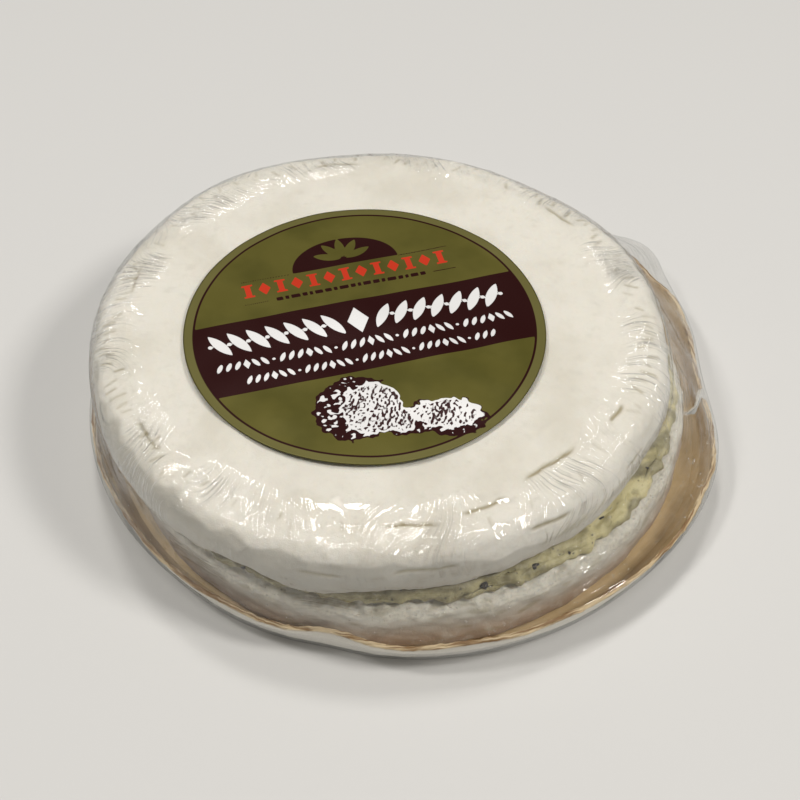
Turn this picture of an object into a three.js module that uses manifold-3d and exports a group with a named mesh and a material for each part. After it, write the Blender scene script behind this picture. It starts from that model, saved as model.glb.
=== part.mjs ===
// A filled soft cheese in its wrapping: a white-rinded wheel cut through level, spread with
// truffle cream and closed again, standing in a shallow board tray, wrapped in clear stretch
// film and carrying a round paper label.
//
// Millimetres, +Z up. The shapes are laid out about the middle of the tray, with +X to the
// right of someone facing the label and +Y away from them. At the end the whole group is moved
// so that the origin is the middle of the underside of its box.

import * as THREE from 'three';
import { mergeVertices } from 'three/addons/utils/BufferGeometryUtils.js';
import Module from 'manifold-3d';

// ---- driving dimensions -------------------------------------------------------------------

const GAP = 0.3; // clearance between neighbours that touch
const FILM = 0.3; // thickness of the wrap
const BOARD = 1.0; // thickness of the tray board

const TRAY_BASE_R = 75.2; // outside of the tray where its wall leaves the floor
const TRAY_RIM_R = 77.9; // outside of the tray at the cut edge
const TRAY_WALL_H = 8.6; // height of the wall, over the board's own underside
const TRAY_BEND_R = 2.2; // the bend from floor to wall: its run and its rise
const TRAY_BEND_H = 1.6;

const WHEEL_R = 68.8; // the rind at its fattest
const LOWER_H = 13.2; // lower half of the wheel
const CREAM_H = 4.0; // layer of truffle cream
const UPPER_H = 13.8; // upper half of the wheel
const CREAM_INSET = 2.6; // how far the cream's edge stands back from the rind
const LOWER_XY = [-0.9, -4.1]; // middle of the lower half
const UPPER_XY = [-7.0, -2.9]; // the upper half has slid to one side

const LABEL_R = 42.5;
const LABEL_T = 0.3;
const LABEL_XY = [-10.2, -5.2];

const HEM_R = 24; // the film's gathered opening under the tray
const FILM_SAG = 1.2; // how far the free film is drawn in between the wheel and the rim
const EAR_BEARING = 38; // the film's gathered ear, in degrees round from +X
const EAR_WIDTH = 7; // in degrees, to each side
const EAR_OUT = 4.6;
const EAR_UP = 1.8;

const SHARD_R = 1.0; // mean half size of a piece of truffle

const STEPS = 72; // straight stretches round each ring

// ---- levels, from the underside up --------------------------------------------------------

const TRAY_Z = FILM + GAP;
const LOWER_Z = TRAY_Z + BOARD + GAP;
const CREAM_Z = LOWER_Z + LOWER_H + GAP;
const UPPER_Z = CREAM_Z + CREAM_H + GAP;
const UPPER_TOP = UPPER_Z + UPPER_H;
const FILM_TOP = UPPER_TOP + GAP;
const LABEL_Z = FILM_TOP + FILM + GAP;
const RIM_Z = TRAY_Z + TRAY_WALL_H;

const MATERIALS = {
  rind: new THREE.MeshStandardMaterial({ color: 0xe9e5da, roughness: 0.85 }),
  cream: new THREE.MeshStandardMaterial({ color: 0xbdb489, roughness: 0.6 }),
  truffle: new THREE.MeshStandardMaterial({ color: 0x24201c, roughness: 0.8 }),
  board: new THREE.MeshStandardMaterial({ color: 0xa08c6c, roughness: 0.6 }),
  film: new THREE.MeshStandardMaterial({
    color: 0xffffff,
    roughness: 0.08,
    transparent: true,
    opacity: 0.15,
  }),
  label: new THREE.MeshStandardMaterial({ color: 0x686032, roughness: 0.45 }),
};

// ---- geometry helpers ---------------------------------------------------------------------

const radians = THREE.MathUtils.degToRad;

// A smooth hump of height 1 at the bearing `centre`, `width` wide at each side, in degrees.
function hump(angle, centre, width) {
  const off = Math.atan2(Math.sin(angle - radians(centre)), Math.cos(angle - radians(centre)));
  return Math.exp(-((off / radians(width)) ** 2));
}

// A closed body of rings. profileAt(angle) lists [radius, height] points for that bearing. Its
// first and last points lie on the axis, and it runs anticlockwise seen with the radius to the
// right, so that the faces point out. centreAt(height) moves each ring sideways.
function ringBody(profileAt, centreAt = () => [0, 0]) {
  const rings = profileAt(0).length - 2;
  const place = (angle, [radius, height]) => {
    const [x, y] = centreAt(height);
    return [x + radius * Math.cos(angle), y + radius * Math.sin(angle), height];
  };
  const points = [place(0, profileAt(0)[0]), place(0, profileAt(0).at(-1))];
  for (let step = 0; step < STEPS; step += 1) {
    const angle = (2 * Math.PI * step) / STEPS;
    const profile = profileAt(angle).slice(1, -1);
    points.push(...profile.map((point) => place(angle, point)));
  }
  const at = (step, ring) => 2 + (step % STEPS) * rings + ring;
  const faces = [];
  for (let step = 0; step < STEPS; step += 1) {
    faces.push([0, at(step + 1, 0), at(step, 0)]);
    for (let ring = 0; ring < rings - 1; ring += 1) {
      faces.push([at(step, ring), at(step + 1, ring), at(step + 1, ring + 1)]);
      faces.push([at(step, ring), at(step + 1, ring + 1), at(step, ring + 1)]);
    }
    faces.push([1, at(step, rings - 1), at(step + 1, rings - 1)]);
  }
  const geometry = new THREE.BufferGeometry();
  geometry.setAttribute('position', new THREE.Float32BufferAttribute(points.flat(), 3));
  geometry.setIndex(faces.flat());
  geometry.computeVertexNormals();
  return geometry;
}

// The profile moved outwards by `distance`, square to itself. The points on the axis stay there.
function offsetProfile(profile, distance) {
  const direction = (a, b) => new THREE.Vector2(b[0] - a[0], b[1] - a[1]).normalize();
  return profile.map((point, i) => {
    const before = direction(profile[Math.max(i - 1, 0)], profile[Math.max(i, 1)]);
    const next = Math.min(i + 1, profile.length - 1);
    const after = direction(profile[next - 1], profile[next]);
    const along = before.clone().add(after).normalize();
    const mitre = distance / Math.max(along.dot(before), 0.5);
    const onAxis = point[0] === 0;
    return [onAxis ? 0 : point[0] + along.y * mitre, point[1] - along.x * mitre];
  });
}

const wasm = await Module();
wasm.setup();

function toSolid(geometry) {
  const bare = geometry.clone();
  bare.deleteAttribute('normal');
  bare.deleteAttribute('uv');
  const merged = mergeVertices(bare, 1e-5);
  return new wasm.Manifold(
    new wasm.Mesh({
      numProp: 3,
      vertProperties: new Float32Array(merged.attributes.position.array),
      triVerts: new Uint32Array(merged.index.array),
    }),
  );
}

function toGeometry(solid) {
  const mesh = solid.getMesh();
  const geometry = new THREE.BufferGeometry();
  geometry.setAttribute('position', new THREE.Float32BufferAttribute(mesh.vertProperties, 3));
  geometry.setIndex(new THREE.Uint32BufferAttribute(mesh.triVerts, 1));
  geometry.computeVertexNormals();
  return geometry;
}

// ---- the tray -----------------------------------------------------------------------------

// The rim is pressed in a little at the front left and drawn well in beside its notch.
function rimRadius(angle) {
  return TRAY_RIM_R - 2.3 * hump(angle, -103, 7) - 4.4 * hump(angle, 3, 14);
}

// The foot of the wall gives half as far.
function footRadius(angle) {
  return TRAY_BASE_R - 0.5 * (TRAY_RIM_R - rimRadius(angle));
}

function trayProfile(angle) {
  const rim = rimRadius(angle);
  const foot = footRadius(angle);
  const wall = [
    [foot - TRAY_BEND_R, 0],
    [foot, TRAY_BEND_H],
    [foot + 0.45 * (rim - foot), 0.5 * TRAY_WALL_H],
    [rim, TRAY_WALL_H],
  ];
  const outside = wall.map(([radius, height]) => [radius, TRAY_Z + height]);
  const inside = offsetProfile(outside, -BOARD).reverse();
  const floor = TRAY_Z + BOARD;
  inside[inside.length - 1] = [foot - TRAY_BEND_R - 0.3 * BOARD, floor];
  return [[0, TRAY_Z], ...outside, ...inside, [0, floor]];
}

// The rim has split on the right: a wedge, narrow at the floor and wide at the edge.
function notchSolid() {
  const beyond = TRAY_RIM_R + 8;
  const outline = new THREE.Shape([
    new THREE.Vector2(TRAY_BASE_R - 5.5, -1.5),
    new THREE.Vector2(beyond, -10.5),
    new THREE.Vector2(beyond, 2.5),
    new THREE.Vector2(TRAY_RIM_R - 3.5, 0.5),
  ]);
  const depth = 3 * TRAY_WALL_H;
  const wedge = new THREE.ExtrudeGeometry(outline, { depth, bevelEnabled: false });
  return toSolid(wedge.translate(0, 0, -TRAY_WALL_H));
}

function trayGeometry() {
  return toGeometry(toSolid(ringBody(trayProfile)).subtract(notchSolid()));
}

// ---- the wheel and its filling ------------------------------------------------------------

// Hand-made wheels aren't quite round.
function wheelRadius(angle) {
  return WHEEL_R + 0.5 * Math.sin(3 * angle + 0.9) + 0.3 * Math.sin(5 * angle - 0.6);
}

// The upper half also bulges at the back left and front right, and is flatter at the back.
function upperRadius(angle) {
  const bulges = 1.4 * hump(angle, 128, 12) + 1.3 * hump(angle, -14, 10);
  const flats = 0.8 * hump(angle, 52, 12) + 0.8 * hump(angle, 99, 9);
  return wheelRadius(angle) + bulges - flats;
}

// The upper half: [distance in from the fattest radius, height] up its side to the top. It is
// fattest at the entry FATTEST.
const FATTEST = 3;
const UPPER_SIDE = [
  [3.2, 0],
  [0.9, 0.6],
  [0.1, 2.4],
  [0, 5.0],
  [0.4, 8.2],
  [1.6, 11.0],
  [4.2, 12.9],
  [9.0, UPPER_H],
];

// The lower half, from its foot up to the rounded lip under the cream.
const LOWER_SIDE = [
  [3.4, 0],
  [1.1, 1.2],
  [0, 4.2],
  [0.2, 8.0],
  [1.1, 11.2],
  [2.6, 12.6],
  [4.6, LOWER_H],
];

function halfProfile(radiusAt, side, base, height) {
  return (angle) => {
    const radius = radiusAt(angle);
    const points = side.map(([inset, up]) => [radius - inset, base + up]);
    return [[0, base], ...points, [0, base + height]];
  };
}

function upperGeometry() {
  return ringBody(halfProfile(upperRadius, UPPER_SIDE, UPPER_Z, UPPER_H));
}

function lowerGeometry() {
  return ringBody(halfProfile(wheelRadius, LOWER_SIDE, LOWER_Z, LOWER_H));
}

// The cream leans from the lower half's outline to the upper half's, as it was pushed.
function creamCentre(height) {
  const share = THREE.MathUtils.clamp((height - CREAM_Z) / CREAM_H, 0, 1);
  return [0, 1].map((axis) => THREE.MathUtils.lerp(LOWER_XY[axis], UPPER_XY[axis], share));
}

function creamGeometry() {
  const profileAt = (angle) => {
    const radius = wheelRadius(angle) - CREAM_INSET;
    return [
      [0, CREAM_Z],
      [radius - 1.2, CREAM_Z],
      [radius, CREAM_Z + 0.8],
      [radius + 0.4, CREAM_Z + 0.5 * CREAM_H],
      [radius, CREAM_Z + CREAM_H - 0.8],
      [radius - 1.2, CREAM_Z + CREAM_H],
      [0, CREAM_Z + CREAM_H],
    ];
  };
  return ringBody(profileAt, creamCentre);
}

// Pieces of truffle at the cream's edge: [bearing in degrees, size, height up the layer].
const SHARDS = [
  [-72, 1.3, 0.45],
  [-66, 0.8, 0.6],
  [-61, 1.1, 0.5],
  [-54, 0.9, 0.4],
  [-43, 1.0, 0.6],
  [-27, 0.9, 0.5],
  [-12, 1.0, 0.45],
  [-93, 0.8, 0.45],
  [-118, 0.9, 0.55],
  [24, 1.0, 0.5],
  [63, 1.1, 0.5],
  [101, 0.9, 0.45],
  [146, 1.2, 0.5],
  [-163, 0.9, 0.55],
];

// A flattened lump, grown by `margin` all round to make its own pocket in the cream.
function shardGeometry(size, turn, margin) {
  const half = SHARD_R * size;
  const lump = new THREE.IcosahedronGeometry(1, 0);
  const allowance = 1.3 * margin; // the faces lie nearer the middle than the corners
  lump.scale(1.5 * half + allowance, half + allowance, 0.8 * half + allowance);
  return lump.rotateZ(turn);
}

function shardPlace([bearing, , up]) {
  const height = CREAM_Z + up * CREAM_H;
  const [x, y] = creamCentre(height);
  const angle = radians(bearing);
  const radius = wheelRadius(angle) - CREAM_INSET - 0.2;
  return new THREE.Vector3(x + radius * Math.cos(angle), y + radius * Math.sin(angle), height);
}

function shardTurn([bearing, size]) {
  return radians(bearing + 90) + 6 * size;
}

function pocketedCream() {
  return SHARDS.reduce((cream, shard) => {
    const pocket = shardGeometry(shard[1], shardTurn(shard), GAP);
    const { x, y, z } = shardPlace(shard);
    return cream.subtract(toSolid(pocket.translate(x, y, z)));
  }, toSolid(creamGeometry()));
}

// ---- the film -----------------------------------------------------------------------------

// Distance from the tray's axis to a circle of `radius` about `centre`, on one bearing.
function reach(angle, centre, radius) {
  const along = centre[0] * Math.cos(angle) + centre[1] * Math.sin(angle);
  return along + Math.sqrt(radius ** 2 - centre[0] ** 2 - centre[1] ** 2 + along ** 2);
}

// The same to an outline about `centre` that isn't round, less `inset`. The outline is given by
// bearings about its own centre, which a few passes find.
function outlineReach(angle, centre, radiusAt, inset) {
  let distance = reach(angle, centre, radiusAt(angle) - inset);
  for (let pass = 0; pass < 4; pass += 1) {
    const x = distance * Math.cos(angle) - centre[0];
    const y = distance * Math.sin(angle) - centre[1];
    distance = reach(angle, centre, radiusAt(Math.atan2(y, x)) - inset);
  }
  return distance;
}

// The film's inner face, drawn tight from the top of the wheel over the rim and under the tray.
// Its gathered end stands out as an ear at the back right.
function filmInside(angle) {
  const ear = hump(angle, EAR_BEARING, EAR_WIDTH);
  const overRind = ([inset, up]) => [
    outlineReach(angle, UPPER_XY, upperRadius, inset) + 1.4 * GAP,
    UPPER_Z + up + 0.4 * GAP,
  ];
  const edgeInset = UPPER_SIDE.at(-1)[0];
  const topEdge = [outlineReach(angle, UPPER_XY, upperRadius, edgeInset), FILM_TOP];
  const shoulder = UPPER_SIDE.slice(FATTEST, -1).reverse().map(overRind);
  const side = shoulder.at(-1);
  const rim = [rimRadius(angle) + GAP + EAR_OUT * ear, RIM_Z + GAP + EAR_UP * ear];
  const foot = footRadius(angle);
  const lip = outlineReach(angle, LOWER_XY, wheelRadius, 0) + GAP;
  const span = [
    Math.max((side[0] + rim[0]) / 2 - FILM_SAG, lip),
    (side[1] + rim[1]) / 2 - 0.3 * FILM_SAG,
  ];
  return [
    [0, FILM_TOP],
    topEdge,
    ...shoulder,
    span,
    [rim[0] - 0.7 * BOARD, rim[1] + 0.1],
    [rim[0] + 0.2, rim[1] - 0.6 * BOARD],
    [foot + 1.6 * GAP, TRAY_Z + TRAY_BEND_H],
    [foot - TRAY_BEND_R, FILM],
    [HEM_R, FILM],
  ];
}

function filmProfile(angle) {
  const inside = filmInside(angle);
  const outside = offsetProfile(inside, -FILM);
  outside[outside.length - 1] = [HEM_R, 0];
  outside[outside.length - 2][1] = 0;
  outside[0] = [0, FILM_TOP + FILM];
  return [...inside, ...outside.reverse()];
}

function filmGeometry() {
  return ringBody(filmProfile);
}

// ---- assembly -----------------------------------------------------------------------------

const group = new THREE.Group();

function add(name, geometry, material, [x, y] = [0, 0], z = 0) {
  const mesh = new THREE.Mesh(geometry, material);
  mesh.name = name;
  mesh.position.set(x, y, z);
  group.add(mesh);
}

add('tray', trayGeometry(), MATERIALS.board);
add('lower_cheese', lowerGeometry(), MATERIALS.rind, LOWER_XY);
add('truffle_cream', toGeometry(pocketedCream()), MATERIALS.cream);
SHARDS.forEach((shard, index) => {
  const name = `truffle_shard_${String(index + 1).padStart(2, '0')}`;
  const { x, y, z } = shardPlace(shard);
  add(name, shardGeometry(shard[1], shardTurn(shard), 0), MATERIALS.truffle, [x, y], z);
});
add('upper_cheese', upperGeometry(), MATERIALS.rind, UPPER_XY);
add('film', filmGeometry(), MATERIALS.film);
const disc = new THREE.CylinderGeometry(LABEL_R, LABEL_R, LABEL_T, STEPS);
add('label', disc.rotateX(Math.PI / 2), MATERIALS.label, LABEL_XY, LABEL_Z + LABEL_T / 2);

// The origin is the middle of the underside of the whole part's box.
const box = new THREE.Box3().setFromObject(group, true);
const middle = box.getCenter(new THREE.Vector3());
group.position.set(-middle.x, -middle.y, -box.min.z);
group.updateMatrixWorld(true);

export default group;
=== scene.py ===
"""A filled white-rinded cheese wheel in its tray, clear film and round label.

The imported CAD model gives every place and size. Each soft or natural piece is rebuilt here as a
fine mesh on its CAD solid, with procedural materials. Sizes are in millimetres until a mesh is
made, and `MM` turns them into metres.
"""

import math

import bmesh
import bpy
import numpy as np
from mathutils import Matrix, Vector
from mathutils.bvhtree import BVHTree


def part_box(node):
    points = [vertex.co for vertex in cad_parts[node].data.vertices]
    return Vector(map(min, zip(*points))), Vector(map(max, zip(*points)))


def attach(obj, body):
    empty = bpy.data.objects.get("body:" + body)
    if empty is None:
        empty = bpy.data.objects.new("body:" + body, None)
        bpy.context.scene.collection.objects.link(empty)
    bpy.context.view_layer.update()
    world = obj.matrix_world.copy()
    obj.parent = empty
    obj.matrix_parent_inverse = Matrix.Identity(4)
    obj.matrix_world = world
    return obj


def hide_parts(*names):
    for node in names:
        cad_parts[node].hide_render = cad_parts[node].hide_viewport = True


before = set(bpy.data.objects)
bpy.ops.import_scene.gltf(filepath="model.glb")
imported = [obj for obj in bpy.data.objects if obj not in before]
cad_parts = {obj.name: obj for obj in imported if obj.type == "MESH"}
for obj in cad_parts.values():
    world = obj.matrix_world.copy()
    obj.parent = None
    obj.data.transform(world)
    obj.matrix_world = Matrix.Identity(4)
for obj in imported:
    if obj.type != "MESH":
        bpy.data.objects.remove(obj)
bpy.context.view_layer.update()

MM = 0.001
TURN = 2 * math.pi


# ---- places read from the frame, in millimetres -------------------------------------------


def box_mm(node):
    low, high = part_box(node)
    return np.array(low) / MM, np.array(high) / MM


def middle_of(node):
    low, high = box_mm(node)
    return (low + high) / 2


def points_of(node):
    """The CAD node's own points, each once, in millimetres."""
    co = np.array([v.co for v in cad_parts[node].data.vertices]) / MM
    return np.unique(co.round(3), axis=0)


def solid_tree(node):
    """A search tree over the CAD node's faces, in millimetres."""
    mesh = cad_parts[node].data
    points = [v.co / MM for v in mesh.vertices]
    return BVHTree.FromPolygons(points, [p.vertices for p in mesh.polygons])


LABEL_LOW, LABEL_HIGH = box_mm("label")
LABEL_MIDDLE = middle_of("label")
LABEL_R = (LABEL_HIGH[0] - LABEL_LOW[0]) / 2


# ---- camera -------------------------------------------------------------------------------

CAMERA_FROM_LABEL = (8.4, -251.1, 247.3)  # mm, from the middle of the label's face
CAMERA_DOWN = math.radians(47.36)
CAMERA_ROLL = math.radians(0.6)
CAMERA_LENS = 67.5


def make_camera():
    forward = Vector((0, math.cos(CAMERA_DOWN), -math.sin(CAMERA_DOWN)))
    level = Vector((1, 0, 0))
    upright = level.cross(forward)
    right = level * math.cos(CAMERA_ROLL) + upright * math.sin(CAMERA_ROLL)
    up = upright * math.cos(CAMERA_ROLL) - level * math.sin(CAMERA_ROLL)
    data = bpy.data.cameras.new("camera")
    data.lens = CAMERA_LENS
    data.clip_start = 0.01
    camera = bpy.data.objects.new("camera", data)
    bpy.context.scene.collection.objects.link(camera)
    face = Vector((LABEL_MIDDLE[0], LABEL_MIDDLE[1], LABEL_HIGH[2]))
    place = Matrix.Translation((face + Vector(CAMERA_FROM_LABEL)) * MM)
    camera.matrix_world = place @ Matrix((right, up, -forward)).transposed().to_4x4()
    bpy.context.scene.camera = camera


make_camera()


# ---- noise and shaping helpers ------------------------------------------------------------


def smooth(value, low, high):
    """0 below low, 1 above high, and an S curve between."""
    t = np.clip((value - low) / (high - low), 0, 1)
    return t * t * (3 - 2 * t)


def hump(bearing, centre, width):
    """A smooth hump of height 1 at a bearing, both in degrees, that wraps round."""
    off = (bearing - centre + 180) % 360 - 180
    return np.exp(-((off / width) ** 2))


def ripple(points, length, seed, waves=28):
    """Smooth seeded noise of about unit size over (..., 3) points, `length` mm from crest to crest."""
    rng = np.random.default_rng(seed)
    total = np.zeros(points.shape[:-1])
    for _ in range(waves):
        direction = rng.normal(size=3)
        direction /= np.linalg.norm(direction)
        pitch = TURN / (length * rng.uniform(0.7, 1.5))
        total += np.sin(points @ (direction * pitch) + rng.uniform(0, TURN))
    return total * math.sqrt(2 / waves)


def blur_round(values, reach, axis=0):
    """Averages over `reach` neighbours each way, round a closed ring."""
    weights = np.exp(-((np.arange(-reach, reach + 1) / (0.5 * reach)) ** 2))
    weights /= weights.sum()
    shifts = range(-reach, reach + 1)
    return sum(w * np.roll(values, s, axis) for w, s in zip(weights, shifts))


def spline(knots, per_span):
    """A Catmull-Rom curve through the knots (n, d), with per_span points in each span."""
    padded = np.concatenate([[2 * knots[0] - knots[1]], knots, [2 * knots[-1] - knots[-2]]])
    curve = []
    for i in range(1, len(padded) - 2):
        a, b, c, d = padded[i - 1:i + 3]
        t = np.linspace(0, 1, per_span, endpoint=False)[:, None]
        bend = (2 * a - 5 * b + 4 * c - d) * t**2 + (3 * b - a - 3 * c + d) * t**3
        curve.append(b + 0.5 * ((c - a) * t + bend))
    return np.concatenate(curve + [knots[-1:]])


def resample(curve, places):
    """Points at the given shares (0 to 1) of the curve's length."""
    steps = np.linalg.norm(np.diff(curve, axis=0), axis=1)
    along = np.concatenate([[0], np.cumsum(steps)]) / steps.sum()
    return np.stack([np.interp(places, along, curve[:, k]) for k in range(curve.shape[1])], 1)


# ---- mesh helpers -------------------------------------------------------------------------


def finish_piece(mesh, name, nodes, material):
    piece = bpy.data.objects.new(name, mesh)
    bpy.context.scene.collection.objects.link(piece)
    mesh.materials.append(material)
    mesh.polygons.foreach_set("use_smooth", np.ones(len(mesh.polygons), bool))
    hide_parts(*nodes)
    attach(piece, "root")
    return piece


def mesh_from(points, faces, name):
    mesh = bpy.data.meshes.new(name)
    mesh.from_pydata((points * MM).tolist(), [], faces)
    mesh.update()
    return mesh


def put_attribute(mesh, name, values):
    attribute = mesh.attributes.new(name, "FLOAT", "POINT")
    attribute.data.foreach_set("value", np.asarray(values, np.float32).ravel())


def put_vectors(mesh, name, vectors):
    attribute = mesh.attributes.new(name, "FLOAT_VECTOR", "POINT")
    attribute.data.foreach_set("vector", np.asarray(vectors, np.float32).ravel())


def ring_faces(rows, steps, first_pole, last_pole):
    """Quads between rings of points laid row by row, closed round, with a pole at either end."""
    faces = []
    for row in range(rows - 1):
        for step in range(steps):
            nxt = (step + 1) % steps
            low, high = row * steps, (row + 1) * steps
            faces.append((low + step, low + nxt, high + nxt, high + step))
    for step in range(steps):
        nxt = (step + 1) % steps
        if first_pole is not None:
            faces.append((first_pole, nxt, step))
        if last_pole is not None:
            last = (rows - 1) * steps
            faces.append((last_pole, last + step, last + nxt))
    return faces


def ring_mesh(name, grid, attributes=None):
    """A closed mesh from rings (rows, steps, 3) that run up from the underside, with poles."""
    rows, steps = grid.shape[:2]
    poles = np.stack([grid[0].mean(0), grid[-1].mean(0)])
    points = np.concatenate([grid.reshape(-1, 3), poles])
    faces = ring_faces(rows, steps, rows * steps, rows * steps + 1)
    mesh = mesh_from(points, faces, name)
    for key, values in (attributes or {}).items():
        ends = [values[0].mean(), values[-1].mean()]
        put_attribute(mesh, key, np.concatenate([values.ravel(), ends]))
    return mesh


def grid_normals(grid):
    """Unit normals of rings (rows, steps, 3), out of the body when the rows run upwards."""
    along = np.gradient(grid, axis=0)
    round_it = np.roll(grid, -1, 1) - np.roll(grid, 1, 1)
    normal = np.cross(round_it, along)
    return normal / np.maximum(np.linalg.norm(normal, axis=2, keepdims=True), 1e-9)


# ---- node helpers -------------------------------------------------------------------------


class Shader:
    """A material's node tree, with short calls for the nodes it uses."""

    def __init__(self, name):
        self.material = bpy.data.materials.new(name)
        self.material.use_nodes = True
        self.tree = self.material.node_tree
        self.tree.nodes.clear()
        self.output = self.tree.nodes.new("ShaderNodeOutputMaterial")

    def link(self, source, target):
        self.tree.links.new(source, target)

    def feed(self, socket, value):
        if isinstance(value, bpy.types.NodeSocket):
            self.link(value, socket)
        elif value is not None:
            socket.default_value = value

    def attribute(self, name):
        node = self.tree.nodes.new("ShaderNodeAttribute")
        node.attribute_name = name
        return node.outputs["Fac"]

    def vector_attribute(self, name):
        node = self.tree.nodes.new("ShaderNodeAttribute")
        node.attribute_name = name
        return node.outputs["Vector"]

    def coordinates(self):
        return self.tree.nodes.new("ShaderNodeTexCoord").outputs["Object"]

    def scaled(self, vector, scale):
        node = self.tree.nodes.new("ShaderNodeMapping")
        node.inputs["Scale"].default_value = scale
        self.link(vector, node.inputs["Vector"])
        return node.outputs["Vector"]

    def noise(self, vector, scale, detail=3.0, roughness=0.55):
        node = self.tree.nodes.new("ShaderNodeTexNoise")
        self.feed(node.inputs["Vector"], vector)
        node.inputs["Scale"].default_value = scale
        node.inputs["Detail"].default_value = detail
        node.inputs["Roughness"].default_value = roughness
        return node.outputs["Fac"]

    def cells(self, vector, scale, feature="F1"):
        node = self.tree.nodes.new("ShaderNodeTexVoronoi")
        node.feature = feature
        self.feed(node.inputs["Vector"], vector)
        node.inputs["Scale"].default_value = scale
        return node.outputs["Distance"]

    def math(self, operation, a, b=None, c=None):
        node = self.tree.nodes.new("ShaderNodeMath")
        node.operation = operation
        for socket, value in zip(node.inputs, (a, b, c)):
            self.feed(socket, value)
        return node.outputs[0]

    def between(self, value, low, high):
        """0 at low, 1 at high, smoothly."""
        node = self.tree.nodes.new("ShaderNodeMapRange")
        node.interpolation_type = "SMOOTHSTEP"
        self.feed(node.inputs["Value"], value)
        node.inputs["From Min"].default_value = low
        node.inputs["From Max"].default_value = high
        return node.outputs["Result"]

    def mix(self, share, a, b):
        node = self.tree.nodes.new("ShaderNodeMix")
        node.data_type = "RGBA"
        self.feed(node.inputs["Factor"], share)
        self.feed(node.inputs["A"], (*a, 1) if isinstance(a, tuple) else a)
        self.feed(node.inputs["B"], (*b, 1) if isinstance(b, tuple) else b)
        return node.outputs["Result"]

    def bump(self, height, distance, strength=1.0, normal=None):
        node = self.tree.nodes.new("ShaderNodeBump")
        node.inputs["Strength"].default_value = strength
        node.inputs["Distance"].default_value = distance * MM
        self.feed(node.inputs["Height"], height)
        if normal is not None:
            self.link(normal, node.inputs["Normal"])
        return node.outputs["Normal"]

    def principled(self, **settings):
        node = self.tree.nodes.new("ShaderNodeBsdfPrincipled")
        for name, value in settings.items():
            self.feed(node.inputs[name.replace("_", " ")], value)
        self.link(node.outputs["BSDF"], self.output.inputs["Surface"])
        return node


# ---- materials ----------------------------------------------------------------------------

PER_MM = 1000.0  # noise scale of one cell to the millimetre, on coordinates in metres


def rind_material():
    """White mould bloom over pale rind: stained in its creases, with painted shade in their grooves,
    greyed on the side wall as painted shade, browner towards the foot from browning, painted shade and
    a painted brown reflection of the tray, and torn white at the cut."""
    s = Shader("rind")
    at = s.coordinates()
    cloudy = s.noise(at, 0.05 * PER_MM, 4.0)
    patchy = s.noise(at, 0.35 * PER_MM, 5.0, 0.62)
    flecks = s.noise(at, 1.1 * PER_MM, 4.0, 0.65)
    fine = s.noise(at, 2.6 * PER_MM, 3.0, 0.6)
    bloom = s.mix(s.between(cloudy, 0.4, 0.68), (0.80, 0.77, 0.70), (0.72, 0.685, 0.605))
    bloom = s.mix(s.math("MULTIPLY", s.between(patchy, 0.52, 0.74), 0.4), bloom, (0.63, 0.60, 0.53))
    bloom = s.mix(s.math("MULTIPLY", s.between(flecks, 0.55, 0.7), 0.3), bloom, (0.60, 0.565, 0.48))
    # Painted shade: the side wall is greyed where less light falls on it than on the top.
    side_wall_shade = s.math("MULTIPLY", s.attribute("wall"), s.between(patchy, 0.0, 0.45))
    bloom = s.mix(side_wall_shade, bloom, (0.52, 0.495, 0.435))
    # Browner towards the foot: partly real browning, partly painted shade with a painted brown
    # reflection of the tray.
    browned_and_shaded = s.math("MULTIPLY", s.attribute("browned_and_shaded"), s.between(patchy, 0.1, 0.55))
    bloom = s.mix(browned_and_shaded, bloom, (0.45, 0.325, 0.23))
    torn = s.math("MULTIPLY", s.attribute("torn"), s.between(flecks, 0.35, 0.55))
    bloom = s.mix(torn, bloom, (0.78, 0.745, 0.65))
    # Stains, with painted shade darkening the creases' grooves.
    colour = s.mix(s.attribute("stain_and_crease_shade"), bloom, (0.29, 0.235, 0.11))
    height = s.math("ADD", s.math("MULTIPLY", patchy, 0.6), s.math("MULTIPLY", fine, 0.4))
    s.principled(
        Base_Color=colour,
        Roughness=0.82,
        Normal=s.bump(height, 0.4, 0.6),
        Subsurface_Weight=0.18,
        Subsurface_Radius=(1.0, 0.7, 0.45),
        Subsurface_Scale=1.2 * MM,
        Specular_IOR_Level=0.25,
        Sheen_Weight=0.15,
    )
    return s.material


def cream_material():
    """Moist pale olive cream with crumbs of truffle in it."""
    s = Shader("truffle_cream")
    at = s.coordinates()
    lumpy = s.noise(at, 0.45 * PER_MM, 5.0, 0.6)
    grain = s.noise(at, 1.8 * PER_MM, 3.0)
    crumbs = s.cells(at, 0.55 * PER_MM)
    colour = s.mix(s.between(lumpy, 0.35, 0.7), (0.27, 0.235, 0.115), (0.44, 0.395, 0.225))
    colour = s.mix(s.attribute("squeezed"), colour, (0.78, 0.70, 0.38))
    # Painted shade under the upper half, and random darker patches.
    colour = s.mix(s.attribute("overhang_shade_and_patches"), colour, (0.15, 0.125, 0.055))
    spot = s.math("MULTIPLY", s.between(crumbs, 0.24, 0.13), s.between(grain, 0.45, 0.6))
    colour = s.mix(s.math("MULTIPLY", spot, 0.85), colour, (0.055, 0.045, 0.03))
    height = s.math("ADD", s.math("MULTIPLY", lumpy, 0.7), s.math("MULTIPLY", grain, 0.3))
    s.principled(
        Base_Color=colour,
        Roughness=0.42,
        Normal=s.bump(height, 0.5, 0.7),
        Subsurface_Weight=0.15,
        Subsurface_Radius=(1.0, 0.8, 0.4),
        Subsurface_Scale=1.0 * MM,
    )
    return s.material


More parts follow.
